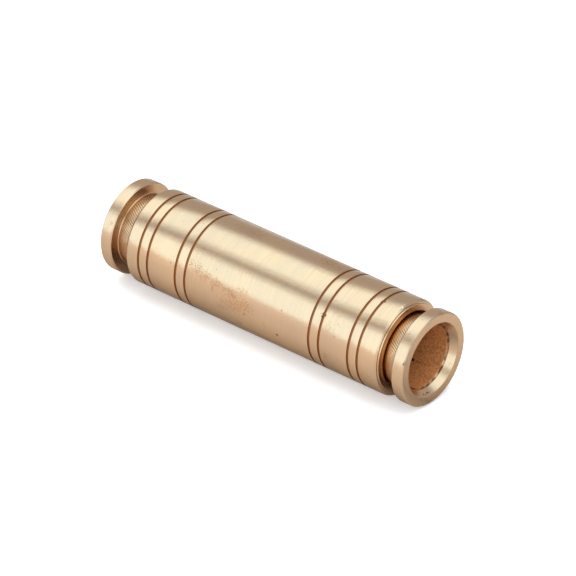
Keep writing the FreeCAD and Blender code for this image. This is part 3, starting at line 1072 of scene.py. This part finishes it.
@dataclass(frozen=True)
class Studio:
    """Pale table, two long banks of softboxes and a long lens.

    Angles are in degrees and lengths in metres, apart from the table's distances, which are in millimetres.
    """

    azimuth: float = 39.8
    elevation: float = 32.8
    distance: float = 0.72825
    lens: float = 309.0
    aim_along: float = -0.0004
    aim_right: float = 0.001425
    aim_up: float = 0.00026
    floor_size: float = 6.0
    floor_colour: Colour = (0.58, 0.58, 0.58, 1.0)
    floor_seen: Colour = (0.93, 0.93, 0.93, 1.0)
    # painted shade on the table as the metal mirrors it: the darker, cooler colour farther back
    floor_shade_behind: Colour = (0.50, 0.58, 0.68, 1.0)
    # painted shade on the table as the metal mirrors it: power, gain and cap of its brightening away from the
    # coupling
    floor_shade_rise: tuple[float, float, float] = (0.132, 0.76, 1.32)
    # where that painted shade farther back fades in, in millimetres along Y
    behind_from: tuple[float, float] = (20.0, 60.0)
    floor_glow: float = 0.22
    cool: tuple[float, float, float] = (0.54, 0.80, 0.98)
    white: tuple[float, float, float] = (1.0, 1.0, 1.0)
    softbox_distance: float = 0.45
    softbox_length: float = 1.8
    surround: Colour = (0.62, 0.66, 0.72, 1.0)

    def back(self) -> Vector:
        """Direction from the coupling to the camera."""
        turn, rise = math.radians(self.azimuth), math.radians(self.elevation)
        return Vector((math.sin(turn) * math.cos(rise), -math.cos(turn) * math.cos(rise), math.sin(rise)))

    def build_camera(self) -> None:
        """Place the camera."""
        back = self.back()
        right = Vector((math.cos(math.radians(self.azimuth)), math.sin(math.radians(self.azimuth)), 0))
        up = back.cross(right)
        data = bpy.data.cameras.new("camera")
        data.lens = self.lens
        data.sensor_width = 36.0
        data.clip_start = 0.01
        camera = bpy.data.objects.new("camera", data)
        camera.rotation_mode = "QUATERNION"
        camera.rotation_quaternion = (-back).to_track_quat("-Z", "Y")
        camera.location = Vector((self.aim_along, 0, 0)) + back * self.distance + right * self.aim_right \
            + up * self.aim_up
        bpy.context.scene.collection.objects.link(camera)
        bpy.context.scene.camera = camera

    def build_floor(self) -> None:
        """Lay the table that the coupling rests on.  Where the metal mirrors it, it carries painted shade: darker
        close to the coupling, and darker and cooler farther back.
        """
        bpy.ops.object.select_all(action="DESELECT")
        bpy.ops.mesh.primitive_plane_add(size=self.floor_size, location=(0, 0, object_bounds()[0].z))
        floor = bpy.context.object
        floor.name = "floor"
        material, graph, shader, place = new_material("pale_table")
        speckle = graph.span(graph.noise(place, 0.02, 3.0, 0.5), 0.3, 0.7, 0.98, 1.0)
        parts = graph.add("ShaderNodeSeparateXYZ", Vector=place)
        away = graph.math("ABSOLUTE", parts.outputs["Y"])
        # painted shade: for all but camera rays the table darkens towards the coupling, standing in for its contact
        # shadow in the metal's reflections
        power, gain, most = self.floor_shade_rise
        reach = graph.math("MULTIPLY", graph.math("POWER", away, power), gain)
        near = graph.add("ShaderNodeVectorMath", {"operation": "SCALE"}, Vector=self.floor_colour[:3],
                         Scale=graph.math("MINIMUM", reach, most))
        path = graph.add("ShaderNodeLightPath")
        # painted shade: for all but camera rays the table turns darker and cooler farther back, standing in for the
        # dimmer light beyond the coupling in the metal's reflections
        behind = graph.span(parts.outputs["Y"], *self.behind_from)
        mirrored = graph.tint(behind, near.outputs[0], self.floor_shade_behind)
        tone = graph.tint(path.outputs["Is Camera Ray"], mirrored, self.floor_seen)
        shade = graph.add("ShaderNodeVectorMath", {"operation": "SCALE"}, Vector=tone, Scale=speckle)
        graph.feed(shader.inputs["Base Color"], shade.outputs[0])
        shader.inputs["Roughness"].default_value = 0.9
        shader.inputs["Specular IOR Level"].default_value = 0.0
        shader.inputs["Emission Color"].default_value = (1.0, 1.0, 1.0, 1.0)
        graph.feed(shader.inputs["Emission Strength"],
                   graph.math("MULTIPLY", path.outputs["Is Camera Ray"], self.floor_glow))
        floor.data.materials.append(material)
        floor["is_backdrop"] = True

    def build_softbox(self, name: str, low: float, high: float, glow: float, mirrored: bool) -> None:
        """Hang a long softbox parallel to X.

        Args:
            name: the light's name.
            low: direction of its near edge, seen along X, from +Y towards +Z.
            high: direction of its far edge.
            glow: its radiance.
            mirrored: whether it is what the metal mirrors, cool and soft edged, or what lights the table.
        """
        middle, half = math.radians((low + high) / 2), math.radians((high - low) / 2)
        data = bpy.data.lights.new(name, "AREA")
        data.shape = "RECTANGLE"
        data.size = self.softbox_length
        data.size_y = 2 * self.softbox_distance * math.tan(half)
        data.color = self.cool if mirrored else self.white
        data.energy = glow * math.pi * data.size * data.size_y
        light = bpy.data.objects.new(name, data)
        light.location = (0, self.softbox_distance * math.cos(middle), self.softbox_distance * math.sin(middle))
        light.rotation_euler = (middle - math.pi / 2, 0, 0)
        light.visible_diffuse = not mirrored
        light.visible_glossy = mirrored
        bpy.context.scene.collection.objects.link(light)

    def build(self) -> None:
        """Set up the whole studio."""
        self.build_camera()
        self.build_floor()
        for name, low, high, glow, mirrored in SOFTBOXES:
            self.build_softbox(name, low, high, glow, mirrored)
        world = bpy.data.worlds.new("surround")
        world.use_nodes = True
        world.node_tree.nodes["Background"].inputs["Color"].default_value = self.surround
        bpy.context.scene.world = world
        bpy.context.scene.view_settings.view_transform = "Standard"


def main() -> None:
    """Build the coupling's looks and its studio."""
    Studio().build()
    tools = Toolbox()
    body_brass = TurnedBrass("turned_body_brass", grooves=(-21.6, 20.9), marks=body_marks()).make(tools)
    flange_brass = TurnedBrass("turned_flange_brass", gloss=0.24, marks=flange_marks()).make(tools)
    # the collet's finish carries a painted orange reflection on the stem near the body's mouth and painted shade in
    # its knurl's cuts
    collet_brass = TurnedBrass("knurled_collet_brass", gloss=0.26, pull=0.2, bore_radius=4.88,
                               reflection_span=(24.3, 25.2), cuts=(5.513, 5.531),
                               colour=(0.62, 0.37, 0.20, 1.0)).make(tools)
    bush_brass = TurnedBrass("turned_bush_brass", gloss=0.32, colour=(0.56, 0.36, 0.20, 1.0)).make(tools)
    clip_bronze = TurnedBrass("circlip_bronze", gloss=0.34, pull=0.2, colour=(0.50, 0.29, 0.15, 1.0)).make(tools)
    grip_steel = SpringSteel("grip_stainless").make(tools)
    ring_plastic = MouldedSoft("ring_acetal", (0.72, 0.71, 0.67, 1.0), (0.62, 0.60, 0.55, 1.0), 0.42, 0.2).make(tools)
    seal_rubber = MouldedSoft("seal_nitrile", (0.014, 0.014, 0.015, 1.0), (0.03, 0.03, 0.031, 1.0), 0.5).make(tools)

    CouplingBody().build(body_brass)
    for side, slit_phase in ((Side.LEFT, -125.0), (Side.RIGHT, -55.0)):
        collet = ReleaseCollet(side, slit_phase)
        collet.build_sleeve(collet_brass)
        collet.build_flange(flange_brass)
        for part, material, slot in (
                ("inner_backup_ring", ring_plastic, "ring_plastic"), ("spacer_ring", ring_plastic, "ring_plastic"),
                ("inner_o_ring", seal_rubber, "seal_rubber"), ("outer_o_ring", seal_rubber, "seal_rubber"),
                ("thrust_washer", bush_brass, "bush_brass"), ("taper_bush", bush_brass, "bush_brass"),
                ("retaining_circlip", clip_bronze, "clip_bronze"), ("grip_ring", grip_steel, "grip_steel")):
            dress(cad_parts[f"{side.label}_{part}"], material)


if __name__ == "__main__":
    main()
